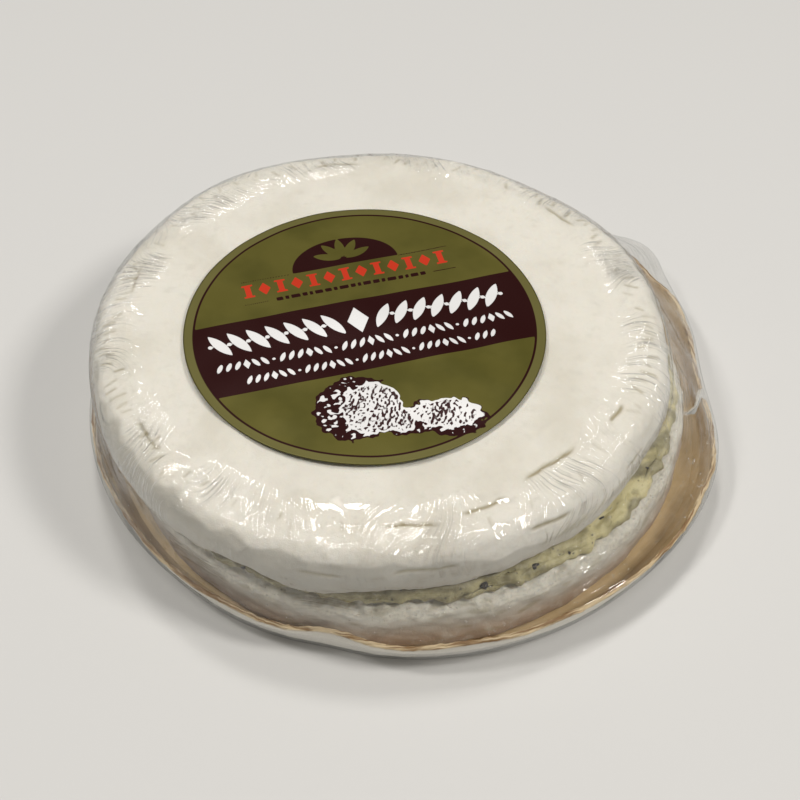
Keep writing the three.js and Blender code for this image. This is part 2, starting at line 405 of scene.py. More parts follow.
def truffle_material():
    """Near-black truffle flesh with pale marbling."""
    s = Shader("truffle")
    at = s.coordinates()
    veins = s.cells(at, 1.1 * PER_MM, "DISTANCE_TO_EDGE")
    grain = s.noise(at, 3.0 * PER_MM, 3.0)
    colour = s.mix(s.between(veins, 0.07, 0.02), (0.018, 0.015, 0.013), (0.13, 0.11, 0.085))
    s.principled(Base_Color=colour, Roughness=0.55, Normal=s.bump(grain, 0.3, 0.7))
    return s.material


def board_material():
    """Pressed board: brown satin face, pale back, and a cut edge in golden and dark plies."""
    s = Shader("tray_board")
    at = s.coordinates()
    cloudy = s.noise(at, 0.12 * PER_MM, 5.0, 0.6)
    fibres = s.noise(s.scaled(at, (1.0, 6.0, 1.0)), 0.9 * PER_MM, 4.0, 0.65)
    face = s.mix(s.between(cloudy, 0.35, 0.7), (0.70, 0.52, 0.27), (0.55, 0.40, 0.19))
    face = s.mix(s.math("MULTIPLY", fibres, 0.35), face, (0.68, 0.55, 0.36))
    back = s.mix(s.between(fibres, 0.3, 0.8), (0.93, 0.895, 0.82), (0.86, 0.81, 0.72))
    plies = s.noise(s.vector_attribute("along_board"), 2.0, 3.0, 0.6)
    edge = s.mix(s.between(plies, 0.42, 0.58), (0.70, 0.55, 0.34), (0.27, 0.15, 0.055))
    colour = s.mix(s.attribute("back"), face, back)
    colour = s.mix(s.attribute("edge"), colour, edge)
    s.principled(
        Base_Color=colour,
        Roughness=0.5,
        Normal=s.bump(fibres, 0.12, 0.5),
    )
    return s.material


def film_material():
    """Thin clear wrap: what is behind shows straight through, and it shines where it turns.

    Its coordinates run round the film and up it, in millimetres, so that the pleats run up the
    shoulder and the stretch marks run round the side."""
    s = Shader("clear_film")
    around = s.vector_attribute("around_and_up")
    pleats = s.noise(s.scaled(around, (1.0, 1.0, 0.04)), 0.75, 0.0)
    fine_pleats = s.noise(s.scaled(around, (1.0, 1.0, 0.05)), 1.7, 0.0)
    streaks = s.noise(s.scaled(around, (0.08, 0.08, 1.0)), 0.7, 1.5)
    loose = s.noise(around, 0.16, 1.0)
    dots = s.between(s.noise(around, 0.9, 1.0), 0.66, 0.78)
    pleated = s.math("MULTIPLY_ADD", fine_pleats, 0.35, pleats)
    height = s.math("MULTIPLY", pleated, s.attribute("pleated"))
    height = s.math("MULTIPLY_ADD", streaks, s.attribute("stretched"), height)
    height = s.math("MULTIPLY_ADD", loose, 0.18, height)
    height = s.math("MULTIPLY_ADD", dots, s.attribute("dotted"), height)
    bump = s.bump(height, 1.1)
    facing = s.tree.nodes.new("ShaderNodeLayerWeight")
    s.link(bump, facing.inputs["Normal"])
    steep = s.math("POWER", facing.outputs["Facing"], 5.0)
    shine = s.math("MULTIPLY_ADD", steep, 0.75, 0.042)
    clear = s.tree.nodes.new("ShaderNodeBsdfTransparent")
    clear.inputs["Color"].default_value = (0.985, 0.985, 0.98, 1)
    gloss = s.tree.nodes.new("ShaderNodeBsdfGlossy")
    gloss.inputs["Roughness"].default_value = 0.035
    s.link(bump, gloss.inputs["Normal"])
    blend = s.tree.nodes.new("ShaderNodeMixShader")
    s.link(shine, blend.inputs["Fac"])
    s.link(clear.outputs["BSDF"], blend.inputs[1])
    s.link(gloss.outputs["BSDF"], blend.inputs[2])
    s.link(blend.outputs["Shader"], s.output.inputs["Surface"])
    return s.material


INK_EDGE = 0.06  # mm to either side of a printed edge over which the ink fades


def label_material():
    """Satin gold-olive paper, printed in dark red, scarlet and white."""
    s = Shader("label_paper")
    at = s.coordinates()

    def ink(name):
        return s.between(s.attribute(name), -INK_EDGE, INK_EDGE)

    mottle = s.noise(at, 0.06 * PER_MM, 3.0)
    grain = s.noise(at, 3.0 * PER_MM, 2.0)
    ground = s.mix(s.between(mottle, 0.35, 0.7), (0.102, 0.090, 0.017), (0.074, 0.067, 0.011))
    colour = s.mix(ink("border"), ground, (0.125, 0.113, 0.034))
    colour = s.mix(ink("maroon"), colour, (0.020, 0.0012, 0.0008))
    colour = s.mix(ink("scarlet"), colour, (0.52, 0.035, 0.012))
    colour = s.mix(ink("white"), colour, (0.74, 0.735, 0.73))
    colour = s.mix(ink("vein"), colour, (0.035, 0.012, 0.012))
    s.principled(
        Base_Color=colour,
        Roughness=0.38,
        Metallic=0.2,
        Specular_IOR_Level=0.12,
        Normal=s.bump(grain, 0.04, 0.3),
    )
    return s.material


# ---- the wheel ----------------------------------------------------------------------------

WHEEL_STEPS = 780  # points round each ring of the wheel and the cream
TOP_CROWDING = 1.5  # above 1, the rings on the top lie closer together towards the shoulder
TOP_REACH = 0.985  # how far in towards the middle they run, as a share of the radius


def cad_rings(node, steps):
    """Reads a lofted CAD node back as rings: heights (rings,) and radii (rings, steps) about its
    own middle, from the lowest ring up."""
    points = points_of(node)
    centre = middle_of_rings(points)
    off = points[:, :2] - centre
    radius = np.hypot(off[:, 0], off[:, 1])
    bearing = np.arctan2(off[:, 1], off[:, 0]) % TURN
    heights = np.unique(points[radius > 1, 2].round(2))
    wanted = np.arange(steps) * TURN / steps
    rings = []
    for height in heights:
        on = (abs(points[:, 2] - height) < 0.02) & (radius > 1)
        rings.append(np.interp(wanted, bearing[on], radius[on], period=TURN))
    return centre, heights, np.array(rings)


def middle_of_rings(points):
    """The axis of a lofted node: its two points on the axis are its poles."""
    low = points[points[:, 2] < points[:, 2].min() + 0.01]
    spread = low[:, :2].mean(0)
    return low[np.argmin(np.hypot(*(low[:, :2] - spread).T)), :2]


def wheel_grid(node, side_rows, top_rows, under_rows):
    """The half wheel's smooth surface as rings from underneath to the top: its points, each
    point's radius and height, and each point's bearing in degrees."""
    steps = WHEEL_STEPS
    centre, heights, radii = cad_rings(node, steps)
    radii = blur_round(radii, steps // 60, axis=1)
    side = []
    for step in range(steps):
        knots = np.stack([radii[:, step], heights], 1)
        side.append(resample(spline(knots, 12), np.linspace(0, 1, side_rows)))
    side = np.array(side).transpose(1, 0, 2)
    under = side[0]
    shares_under = np.linspace(0.06, 0.97, under_rows)
    shares_top = 1 - np.linspace(0, 1, top_rows + 1)[1:] ** TOP_CROWDING * TOP_REACH
    rows = [np.stack([under[:, 0] * share, under[:, 1]], 1) for share in shares_under]
    rows += list(side)
    rows += [np.stack([side[-1][:, 0] * share, side[-1][:, 1]], 1) for share in shares_top]
    polar = np.array(rows)
    angle = np.arange(steps) * TURN / steps
    x = centre[0] + polar[:, :, 0] * np.cos(angle)
    y = centre[1] + polar[:, :, 0] * np.sin(angle)
    grid = np.stack([x, y, polar[:, :, 1]], 2)
    bearing = np.degrees(angle)[None, :] + np.zeros((len(rows), 1))
    return grid, polar, bearing


# Creases where the film has bitten into the top's edge: first and last bearing in degrees, radius
# in mm, strength.
# The first three are where the photograph shows them. The others were placed, and those at the
# back are guessed.
CREASES = [
    (-89, -76, 60.8, 0.45),
    (-73, -61, 59.4, 0.5),
    (-57, -40, 57.4, 0.6),
    (-31, -24, 60.4, 0.55),
    (36, 47, 60.5, 0.4),
    (-150, -139, 61.5, 0.35),
    (95, 108, 61.0, 0.35),
    (160, 171, 61.2, 0.3),
]
# The same lower down on the shoulder: first and last bearing, mm below the top, strength.
# The first two are where the photograph shows them, though the second one slopes there.
SIDE_CREASES = [
    (-61, -51, 3.8, 0.5),
    (-87, -74, 6.2, 0.35),
    (-104, -95, 6.8, 0.3),
    (-36, -28, 6.0, 0.4),
]
CREASE_HALF_WIDTH = 0.45
SIDE_CREASE_HALF_WIDTH = 0.4
CREASE_DEPTH = 0.7  # mm into the rind at a strength of 1
DASH_DEPTH = 0.14  # the same for the rack marks

DASH_PITCH = 2.45  # degrees between the rack marks round the shoulder
# Where the rack marks crowd together: bearing, width in degrees, share.
DASH_CROWDS = [(-170, 34, 1.0), (38, 22, 1.0), (-8, 15, 1.0), (95, 30, 0.5)]


# Where the upper half's cut edge is lifted, or lowered if negative: bearing, width, mm.
LIP_WAVES = [(-116, 5, 2.2), (-125, 7, 1.0), (-102, 6, -0.6), (-88, 5, 0.8), (-76, 7, -0.7)]


def off_middle(bearing, first, last):
    """Degrees from the middle of a span of bearings, and half the span's width."""
    middle = (first + last) / 2
    return (bearing - middle + 180) % 360 - 180, (last - first) / 2


def crease_mask(bearing, radius, top_gap):
    """How strong the creases are at each point."""
    crease = np.zeros_like(radius)
    for first, last, at, strength in CREASES:
        off, half = off_middle(bearing, first, last)
        wander = 0.4 * np.sin(off * 0.33 + first) + 0.1 * np.sin(off * 1.3)
        across = np.exp(-(((radius - at - wander) / CREASE_HALF_WIDTH) ** 2)) * (top_gap < 2.5)
        crease = np.maximum(crease, strength * across * smooth(half - abs(off), 0, 0.5 * half))
    for first, last, at, strength in SIDE_CREASES:
        off, half = off_middle(bearing, first, last)
        wander = 0.3 * np.sin(off * 0.5)
        across = np.exp(-(((top_gap - at - wander) / SIDE_CREASE_HALF_WIDTH) ** 2)) * (radius > 62)
        crease = np.maximum(crease, strength * across * smooth(half - abs(off), 0, 2.0))
    return crease


def dash_mask(bearing, radius, top_gap, seed):
    """Short marks across the shoulder, left by the rack that the wheel ripened on."""
    rng = np.random.default_rng(seed)
    count = int(360 / DASH_PITCH)
    slot = np.floor(bearing / DASH_PITCH).astype(int) % count
    inner = rng.uniform(59.5, 63.5, count)[slot]
    length = rng.uniform(1.5, 4.5, count)[slot]
    lean = rng.uniform(-0.5, 0.5, count)[slot]
    middles = (np.arange(count) + 0.5) * DASH_PITCH
    crowd = sum(share * hump(middles, centre, width) for centre, width, share in DASH_CROWDS)
    shown = (rng.uniform(0, 1, count) < 0.3 + 0.7 * crowd)[slot]
    strength = (rng.uniform(0.4, 1.0, count) * (0.6 + 0.6 * np.clip(crowd, 0, 1)))[slot]
    across = (bearing / DASH_PITCH - np.floor(bearing / DASH_PITCH) - 0.5) * DASH_PITCH
    off = across * math.pi / 180 * radius + lean * (radius - inner)
    line = np.exp(-((off / 0.36) ** 2))
    ends = smooth(radius, inner - 0.4, inner + 0.4) * smooth(inner + length - radius, -0.4, 0.4)
    return line * ends * shown * strength * (top_gap < 6)


def make_upper_cheese(material):
    grid, polar, bearing = wheel_grid("upper_cheese", side_rows=54, top_rows=64, under_rows=7)
    radius, height = polar[:, :, 0], polar[:, :, 1]
    low, high = box_mm("upper_cheese")
    top_gap = high[2] - height
    normal = grid_normals(grid)
    outer = smooth(radius, 40, 60)
    bulge = 0.16 * ripple(grid, 30, 1) + 0.10 * ripple(grid, 11, 2) * (0.4 + 0.6 * outer)
    bulge += (0.05 * ripple(grid, 4.5, 3) + 0.035 * ripple(grid, 2.2, 4)) * (0.35 + 0.65 * outer)
    hidden = (height < low[2] + 0.05) & (radius < 62)
    crease = crease_mask(bearing, radius, top_gap)
    dashes = dash_mask(bearing, radius, top_gap, 5)
    bulge = np.where(hidden, 0, bulge - CREASE_DEPTH * crease - DASH_DEPTH * dashes)
    grid = grid + normal * bulge[:, :, None]
    lip = smooth(low[2] + 5.5 - height, 0, 5.0) * smooth(radius, 63, 67)
    lifted = sum(size * hump(bearing, centre, width) for centre, width, size in LIP_WAVES)
    grid[:, :, 2] += lip * (lifted + 0.25 * ripple(grid, 9, 6))
    # The rack marks' stain, and the creases' stain with painted shade in their grooves.
    stain_and_crease_shade = np.clip(1.7 * crease + 0.7 * dashes, 0, 0.9)
    # The painted shade that greys the side wall starts lower down at the front right than at the front
    # left.
    wall_from = 2.4 + 5.8 * hump(bearing, -45, 38) + 0.5 * ripple(grid, 9, 7)
    wall = 0.8 * smooth(top_gap - wall_from, -0.5, 0.7)
    # A little browner towards the cut: partly browning, partly painted shade.
    browned_and_shaded = 0.10 * smooth(low[2] + 4 - height, 0, 4)
    torn = smooth(low[2] + 1.2 - height, 0, 1.0) * smooth(radius, 60, 64)
    marks = {"stain_and_crease_shade": stain_and_crease_shade, "browned_and_shaded": browned_and_shaded, "wall": wall, "torn": 0.5 * torn}
    mesh = ring_mesh("upper_cheese_rind", grid, marks)
    return finish_piece(mesh, "upper_cheese_rind", ["upper_cheese"], material)


def make_lower_cheese(material):
    grid, polar, bearing = wheel_grid("lower_cheese", side_rows=58, top_rows=16, under_rows=7)
    radius, height = polar[:, :, 0], polar[:, :, 1]
    low, high = box_mm("lower_cheese")
    normal = grid_normals(grid)
    side = smooth(radius, 58, 64) * smooth(height, low[2], low[2] + 1.5)
    sag = 1.2 * hump(bearing, -78, 22) * smooth(low[2] + 7.5 - height, 0, 5)
    bulge = sag + 0.22 * ripple(grid, 24, 11) + 0.12 * ripple(grid * [1, 1, 2], 9, 12)
    bulge += 0.05 * ripple(grid * [1, 1, 2.5], 4, 13)
    lip = smooth(height, high[2] - 4.5, high[2] - 0.3) * smooth(radius, 60, 65)
    ragged = 0.24 * ripple(grid * [1, 1, 0.5], 6.0, 14) + 0.2 * ripple(grid * [1, 1, 0.6], 2.6, 15)
    ragged += 0.12 * ripple(grid, 1.3, 18)
    grid = grid + normal * ((bulge * side) + ragged * lip)[:, :, None]
    lowered = 0.9 * hump(bearing, -115, 22)
    grid[:, :, 2] += lip * (np.clip(0.3 * ripple(grid, 7, 16), -0.6, 0.25) - lowered)
    stain_and_crease_shade = np.clip(0.3 * ripple(grid * [1, 1, 3], 6, 17) - 0.25, 0, 0.4) * side
    # Browner towards the foot: partly browning, partly painted shade and a painted brown reflection of
    # the tray.
    browned_and_shaded = smooth(high[2] - 2.5 - height, 0, 7.5)
    torn_from = high[2] - 3.0 + 0.9 * ripple(grid * [1, 1, 0.3], 5, 19)
    torn = smooth(height - torn_from, -0.4, 0.8) * smooth(radius, 58, 62)
    # The lower half's side wall is greyed by the same painted shade.
    marks = {"stain_and_crease_shade": stain_and_crease_shade, "browned_and_shaded": browned_and_shaded, "wall": 0.4 * side, "torn": torn}
    mesh = ring_mesh("lower_cheese_rind", grid, marks)
    return finish_piece(mesh, "lower_cheese_rind", ["lower_cheese"], material)


# ---- the cream and its truffle ------------------------------------------------------------

CREAM_ROWS = 34  # rings up the cream's edge
LID_ROWS = 6  # rings across its top, and as many underneath
CREAM_RAY_START = 90  # mm from the middle, outside the cream, where its rays come in from


def make_cream(material):
    """The cream's edge, lumpy and pushed out over the lower half where that stands proud."""
    steps = WHEEL_STEPS
    tree = solid_tree("truffle_cream")
    low, high = box_mm("truffle_cream")
    centre = (middle_of("upper_cheese") + middle_of("lower_cheese"))[:2] / 2
    angle = np.arange(steps) * TURN / steps
    heights = np.linspace(low[2] + 0.1, high[2] - 0.1, CREAM_ROWS)
    edge = np.zeros((CREAM_ROWS, steps))
    for row, height in enumerate(heights):
        for step in range(steps):
            out = Vector((math.cos(angle[step]), math.sin(angle[step]), 0))
            start = Vector((*centre, height)) + out * CREAM_RAY_START
            hit = tree.ray_cast(start, -out)[0]
            edge[row, step] = (hit - Vector((*centre, height))).length
    edge = blur_round(edge, 14, axis=1)
    inner = np.linspace(0.1, 0.97, LID_ROWS)[:, None]
    radius = np.concatenate([inner * edge[0], edge, inner[::-1] * edge[-1]])
    under, lid = np.full(LID_ROWS, low[2]), np.full(LID_ROWS, high[2])
    level = np.concatenate([under, heights, lid])
    x = centre[0] + radius * np.cos(angle)
    y = centre[1] + radius * np.sin(angle)
    grid = np.stack([x, y, level[:, None] + 0 * radius], 2)
    shown = smooth(radius / radius.max(0), 0.95, 0.985)
    right = hump(np.degrees(angle), -20, 45)[None, :]
    bulge = 0.30 * ripple(grid, 7, 21) + 0.22 * ripple(grid, 3.2, 22) + 0.12 * ripple(grid, 1.6, 23)
    bulge = (0.35 + bulge + 0.7 * right) * shown
    grid = grid + grid_normals(grid) * bulge[:, :, None]
    grid[:, :, 2] = np.clip(grid[:, :, 2], low[2] - 0.25, high[2] + 0.25)
    squeezed = right * smooth(ripple(grid, 9, 24), -0.6, 0.8)
    # Painted shade at the top of the cream under the upper half's overhang, less where it bulges out
    # on the right; then random darker patches.
    overhang_shade_and_patches = 0.75 * smooth(grid[:, :, 2], high[2] - 1.3, high[2] - 0.1) * (1 - 0.5 * right)
    overhang_shade_and_patches += 0.35 * smooth(ripple(grid * [1, 1, 2], 5, 25), 0.6, 1.6)
    marks = {"squeezed": squeezed, "overhang_shade_and_patches": np.clip(overhang_shade_and_patches, 0, 0.9)}
    mesh = ring_mesh("truffle_cream_layer", grid, marks)
    return finish_piece(mesh, "truffle_cream_layer", ["truffle_cream"], material)


def make_shards(material):
    """Each CAD lump as a rough broken crumb."""
    names = sorted(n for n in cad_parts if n.startswith("truffle_shard"))
    for index, node in enumerate(names):
        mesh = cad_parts[node].data.copy()
        mesh.materials.clear()
        weld_and_split(mesh, 3)
        co = np.array([v.co for v in mesh.vertices]) / MM
        centre = co.mean(0)
        out = (co - centre) / np.linalg.norm(co - centre, axis=1, keepdims=True)
        rough = 0.14 * ripple(co, 1.0, 31 + index) + 0.06 * ripple(co, 0.5, 61 + index) - 0.25
        mesh.vertices.foreach_set("co", ((co + out * rough[:, None]) * MM).ravel())
        finish_piece(mesh, node + "_crumb", [node], material)


def weld_and_split(mesh, cuts):
    work = bmesh.new()
    work.from_mesh(mesh)
    bmesh.ops.remove_doubles(work, verts=work.verts, dist=1e-6)
    bmesh.ops.subdivide_edges(work, edges=work.edges, cuts=cuts, use_grid_fill=True)
    work.to_mesh(mesh)
    work.free()


# ---- the tray -----------------------------------------------------------------------------

BOARD_FLOOR_R = 69.0  # mm: the board is a flat floor out to here, and bends up further out
LEVEL = 0.98  # faces that point this squarely up or down are shaded flat


def make_tray(material):
    """The CAD tray with a finely divided wall, a fibrous cut edge and ragged split ends."""
    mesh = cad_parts["tray"].data.copy()
    mesh.materials.clear()
    work = bmesh.new()
    work.from_mesh(mesh)
    bmesh.ops.remove_doubles(work, verts=work.verts, dist=1e-6)
    for longest in (5.0, 2.6, 1.4, 0.9):
        edges = [
            e for e in work.edges
            if e.calc_length() > longest * MM
            and min(v.co.xy.length for v in e.verts) > BOARD_FLOOR_R * MM
        ]
        bmesh.ops.subdivide_edges(work, edges=edges, cuts=1)
    bmesh.ops.triangulate(work, faces=[f for f in work.faces if len(f.verts) > 4])
    work.to_mesh(mesh)
    work.free()
    co = np.array([v.co for v in mesh.vertices]) / MM
    low, high = box_mm("tray")
    height = co[:, 2] - low[2]
    away = np.hypot(co[:, 0], co[:, 1])
    rim = smooth(height, high[2] - low[2] - 1.4, high[2] - low[2] - 0.3)
    waves = np.stack([ripple(co, 2.2, 71 + k) for k in range(3)], 1)
    slow = np.stack([ripple(co, 16, 74 + k) for k in range(3)], 1)
    co += 0.07 * waves * rim[:, None] + 0.15 * slow * smooth(height, 2, 8)[:, None]
    mesh.vertices.foreach_set("co", (co * MM).ravel())
    mesh.update()
    normal = np.array([v.normal for v in mesh.vertices])
    outwards = (normal[:, 0] * co[:, 0] + normal[:, 1] * co[:, 1]) / np.maximum(away, 1)
    back = smooth(outwards, 0.05, 0.35) + smooth(-normal[:, 2], 0.5, 0.8)
    back = np.where(away < BOARD_FLOOR_R, height < 0.5, back)
    back = np.where(height < 0.3, 1, back)
    put_attribute(mesh, "back", np.clip(back, 0, 1))
    put_attribute(mesh, "edge", rim)
    bearing = np.arctan2(co[:, 1], co[:, 0])
    put_vectors(mesh, "along_board", np.stack([away, 4 * np.cos(bearing), 4 * np.sin(bearing)], 1))
    piece = finish_piece(mesh, "tray_board", ["tray"], material)
    level = np.array([abs(p.normal.z) for p in mesh.polygons]) > LEVEL
    mesh.polygons.foreach_set("use_smooth", ~level)
    return piece


# ---- the film -----------------------------------------------------------------------------

FILM_THICK = 0.05
FILM_STEPS = 500  # points round each of the film's rings
FILM_ROWS = 98  # rings from its hem up to the middle of its top
HUB_HEIGHT = 12  # the rays that read the CAD film all aim at this height on the axis
FILM_RAY_START = 140  # mm from there, outside the part, where they come in from
LOWEST_RAY = -24.8  # degrees: it meets the film just outside the opening underneath
HIGHEST_RAY = 89.7
RAYS = 420
FLUTES = 61  # folds round the span between the rim and the shoulder
PLEAT_R = 70  # mm: the circle on which the pleats' noise is laid out


def film_skin(steps, rows):
    """The film's outer face read off the CAD film as rings from its hem up to the top."""
    tree = solid_tree("film")
    hub = Vector((0, 0, HUB_HEIGHT))
    rays = np.linspace(math.radians(LOWEST_RAY), math.radians(HIGHEST_RAY), RAYS)
    angle = np.arange(steps) * TURN / steps
    reach = np.zeros((steps, len(rays)))
    for step in range(steps):
        flat = Vector((math.cos(angle[step]), math.sin(angle[step]), 0))
        for k, tilt in enumerate(rays):
            way = flat * math.cos(tilt) + Vector((0, 0, math.sin(tilt)))
            hit = tree.ray_cast(hub + way * FILM_RAY_START, -way)[0]
            reach[step, k] = (hit - hub).length
    reach = blur_round(reach, 7, axis=0)
    profiles = np.stack([reach * np.cos(rays), hub.z + reach * np.sin(rays)], 2)
    # Two thirds of the rows go to the side and the shoulder.
    low_rows, side_rows = rows // 6, rows * 2 // 3
    lengths = np.concatenate([
        np.linspace(0, 0.30, low_rows, endpoint=False),
        np.linspace(0.30, 0.66, side_rows, endpoint=False),
        np.linspace(0.66, 1.0, rows - low_rows - side_rows),
    ])
    polar = np.array([resample(p, lengths) for p in profiles]).transpose(1, 0, 2)
    return polar, angle


def make_film(material):
    steps, rows = FILM_STEPS, FILM_ROWS
    polar, angle = film_skin(steps, rows)
    radius, height = polar[:, :, 0], polar[:, :, 1]
    x, y = radius * np.cos(angle), radius * np.sin(angle)
    grid = np.stack([x, y, height], 2)
    centre = middle_of("upper_cheese")
    from_wheel = np.hypot(x - centre[0], y - centre[1])
    shoulder = smooth(from_wheel, 54, 61) * smooth(height, 23, 28)
    span = smooth(height, 9.5, 12) * (1 - smooth(height, 22, 27))
    patches = smooth(ripple(grid, 26, 83), -0.6, 0.7)
    flutes = 0.5 + 0.5 * np.sin(angle * FLUTES + 1.4 * ripple(grid, 40, 82))
    push = 0.1 * flutes * span * patches + 0.18 * ripple(grid, 12, 84) * span
    push += 0.07 * np.abs(ripple(grid * [1, 1, 0], 4.0, 81)) * shoulder
    grid = grid + grid_normals(grid) * push[:, :, None]
    steps_up = np.linalg.norm(np.diff(grid, axis=0), axis=2)
    up = np.concatenate([np.zeros((1, steps)), np.cumsum(steps_up, axis=0)])
    turned = angle + 0.05 * ripple(grid, 22, 87)
    around = np.stack([PLEAT_R * np.cos(turned), PLEAT_R * np.sin(turned), up], 2)
    masks = {
        "pleated": shoulder * (0.7 + 0.5 * smooth(ripple(grid, 17, 86), -0.6, 0.5)),
        "stretched": span * (0.15 + 0.7 * smooth(ripple(grid, 24, 88), -0.2, 0.8)),
        "dotted": 0.35 * span,
    }
    last = (rows - 1) * steps
    pole = rows * steps
    faces = ring_faces(rows, steps, None, pole)
    points = np.concatenate([grid.reshape(-1, 3), grid[-1].mean(0)[None]])
    mesh = mesh_from(points, faces, "film_wrap")
    for name, values in masks.items():
        put_attribute(mesh, name, np.append(values.ravel(), 0))
    flat_around = around.reshape(-1, 3)
    put_vectors(mesh, "around_and_up", np.concatenate([flat_around, flat_around[last:last + 1]]))
    piece = finish_piece(mesh, "film_wrap", ["film"], material)
    solid = piece.modifiers.new("thickness", "SOLIDIFY")
    solid.thickness = FILM_THICK * MM
    solid.offset = -1
    return piece


# ---- the label ----------------------------------------------------------------------------

LABEL_TURN = math.radians(16.0)  # the print is turned anticlockwise on the wheel
LABEL_THICK = 0.12
LABEL_STEPS, LABEL_ROWS = 640, 104  # points round the label, and rings from its middle out
PRINT_RING_R = 40.1
# Heights on the label's face, in mm up from its middle.
HALF_DISC_BASE = 22.4
SCARLET_LINE = 18.9
BLOCKS_LINE = 14.4
BAND_HIGH = 9.4
GARLAND_LINE = 2.6
BAND_LOW = -13.5


def disc(x, y, cx, cy, rx, ry=None):
    """Signed distance in mm, positive inside, to an ellipse."""
    ry = ry or rx
    scale = min(rx, ry)
    return scale * (1 - np.hypot((x - cx) / rx, (y - cy) / ry))


def bar(x, y, cx, cy, half_x, half_y):
    return np.minimum(half_x - abs(x - cx), half_y - abs(y - cy))


def lozenge(x, y, cx, cy, half_x, half_y):
    slope = half_x * half_y / math.hypot(half_x, half_y)
    return slope * (1 - abs(x - cx) / half_x - abs(y - cy) / half_y)


def leaf(x, y, cx, cy, length, width, tilt):
    """A pointed oval: where two discs meet."""
    c, s = math.cos(tilt), math.sin(tilt)
    u = (x - cx) * c + (y - cy) * s
    v = abs(-(x - cx) * s + (y - cy) * c)
    bend = (length**2 - width**2) / (2 * width)
    return math.hypot(bend, length) - np.hypot(u, v + bend)


def join(*shapes):
    return np.maximum.reduce(shapes)


def words(x, y, cy, half_height, start, end, gap, sizes):
    """A line of plain blocks, as long and as heavy as a line of small print."""
    shapes, at, index = [], start, 0
    while at < end:
        width = min(sizes[index % len(sizes)], end - at)
        shapes.append(bar(x, y, at + width / 2, cy, width / 2, half_height))
        at += width + gap
        index += 1
    return join(*shapes)


def label_inks(x, y):
    """Each ink's signed distance over the label, x and y in mm from its middle, not turned."""
    c, s = math.cos(LABEL_TURN), math.sin(LABEL_TURN)
    u, v = x * c + y * s, y * c - x * s
    away = np.hypot(x, y)
    line = 0.28 - abs(away - PRINT_RING_R)
    band = np.minimum(np.minimum(BAND_HIGH - v, v - BAND_LOW), PRINT_RING_R - away)
    half_disc = np.minimum(disc(u, v, 1.0, HALF_DISC_BASE, 13.2, 9.6), v - HALF_DISC_BASE)
    sprig = join(*[leaf(u, v, 1.0 + 4.2 * math.cos(t), 24.4 + 4.2 * math.sin(t), 3.5, 1.15, t)
                   for t in np.radians([22, 56, 90, 124, 158])])
    rules = join(*[bar(u, v, cx, 22.3, 6.2, 0.13) for cx in (-19.0, 20.5)])
    rules = join(rules, *[bar(u, v, cx, BLOCKS_LINE, 3.0, 0.13) for cx in (-22.8, 23.8)])
    small = words(u, v, BLOCKS_LINE, 0.6, -18.0, 19.0, 0.55, (1.6, 0.9, 2.2, 1.2, 0.8, 1.9))
    lumps = truffle_drawing(x, y)
    maroon = join(line, band, np.minimum(half_disc, -sprig), rules, small, lumps["skin"])
    scarlet = join(*[scarlet_mark(u, v, i) for i in range(13)])
    white = join(big_ornament(u, v), small_lines(u, v), lumps["flesh"])
    return {
        "border": away - PRINT_RING_R,
        "maroon": maroon,
        "scarlet": scarlet,
        "white": white,
        "vein": lumps["vein"],
    }


def scarlet_mark(u, v, index):
    """A lozenge, or an upright bar with a short bar across each end, by turns."""
    cx = -24.0 + 4.0 * index
    if index % 2:
        return lozenge(u, v, cx, SCARLET_LINE, 1.5, 2.2)
    upright = bar(u, v, cx, SCARLET_LINE, 0.7, 2.2)
    ends = [bar(u, v, cx, SCARLET_LINE + side * 1.95, 1.35, 0.28) for side in (-1, 1)]
    return join(upright, *ends)


def big_ornament(u, v):
    """A garland of leaves that lean away from a lozenge in the middle."""
    shapes = [lozenge(u, v, -1.0, GARLAND_LINE, 2.6, 4.2)]
    for side in (-1, 1):
        for i in range(7):
            cx = -1.0 + side * (6.0 + 4.5 * i)
            tilt = math.pi / 2 - side * 0.55
            shapes.append(leaf(u, v, cx, GARLAND_LINE, 4.3, 1.25, tilt))
            shapes.append(disc(u, v, cx + side * 2.3, GARLAND_LINE, 0.55))
    return join(*shapes)


def small_lines(u, v):
    """Two narrower borders: groups of slanted leaves about a lozenge, with a dot between groups."""
    shapes = []
    for cy, half_width, size in [(-4.7, 36.5, 1.0), (-9.8, 30.5, 0.92)]:
        count = int(2 * half_width / (2.1 * size))
        for i in range(count):
            cx = -half_width + 2.1 * size * (i + 0.5)
            place = i % 7
            if place == 6:
                shapes.append(disc(u, v, cx, cy, 0.4 * size))
            elif place == 3:
                shapes.append(lozenge(u, v, cx, cy, 0.85 * size, 1.6 * size))
            else:
                tilt = math.pi / 2 - (0.5 if place < 3 else -0.5)
                shapes.append(leaf(u, v, cx, cy, 1.65 * size, 0.55 * size, tilt))
    return join(*shapes)


